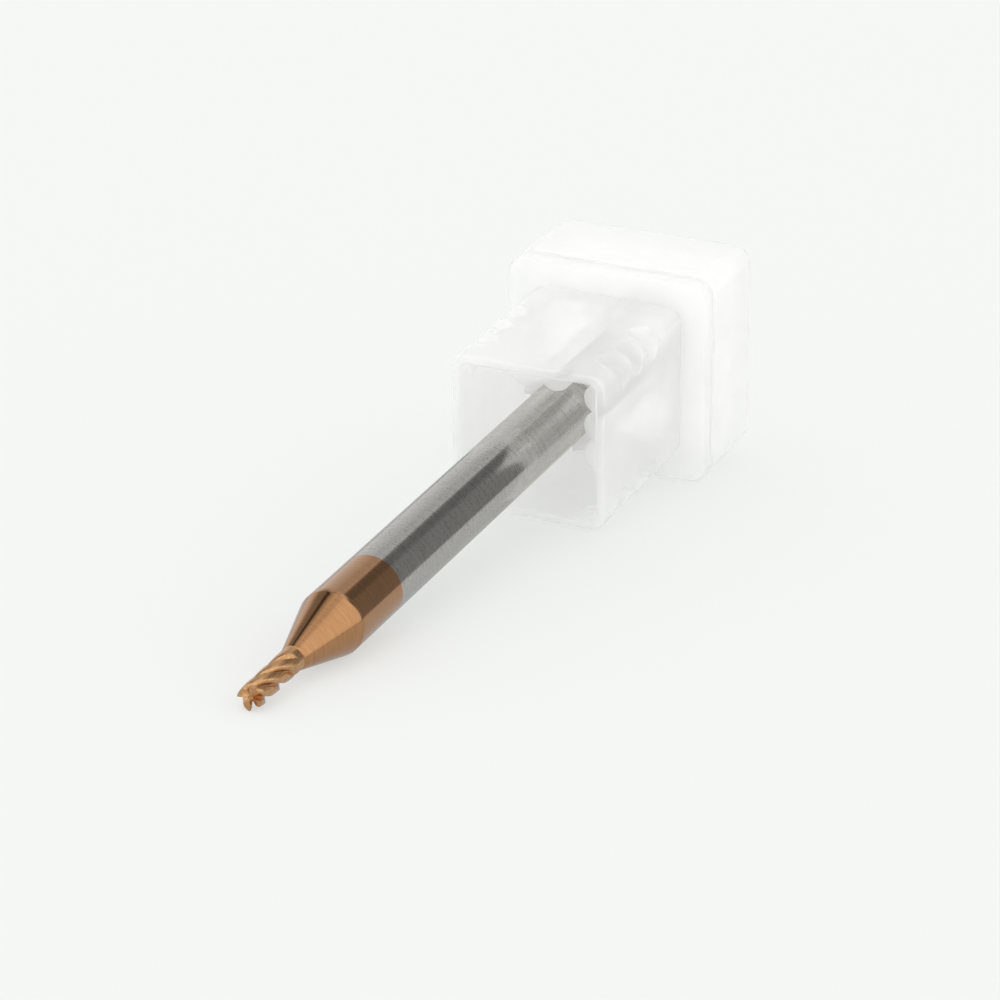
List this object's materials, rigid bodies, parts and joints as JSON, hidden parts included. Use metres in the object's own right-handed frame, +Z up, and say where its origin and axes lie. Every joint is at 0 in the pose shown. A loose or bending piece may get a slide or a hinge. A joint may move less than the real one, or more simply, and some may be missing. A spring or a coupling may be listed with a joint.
{
  "type": "end mill in tool pack holder",
  "caption": "Square end mill with a coned neck, partly coated shank and right-hand helical flutes, its rear end held in the square plastic holder of its tool pack.",
  "frame": {"origin": "on the surface the part lies on, under the middle of its box", "axes": "+X from the cutting tip towards the holder, +Z up; the tool's own axis leans up from +X towards the holder"},
  "size_m": [0.0568, 0.0136, 0.0144],
  "materials": {
    "coated_flutes": "ground and coated, satin",
    "coated_neck": "ground and coated, satin",
    "coated_shank": "ground and coated, satin",
    "ground_shank": "fine cylindrical grinding",
    "sleeve_plastic": "milky, slightly frosted",
    "foot_plastic": "milky, slightly frosted",
    "grip_plastic": "milky, slightly frosted"
  },
  "bodies": {
    "tool": {"flute_section": "coated_flutes", "neck_cone": "coated_neck", "coated_band": "coated_shank", "bare_shank": "ground_shank"},
    "holder": {"holder_sleeve": "sleeve_plastic", "holder_foot": "foot_plastic", "grip_fingers": "grip_plastic"}
  },
  "joints": [
    {"name": "holder_pull", "type": "slide", "parent": "tool", "child": "holder", "axis": [0.9924, 0, 0.123], "range_m": [0, 0.0136]}
  ]
}
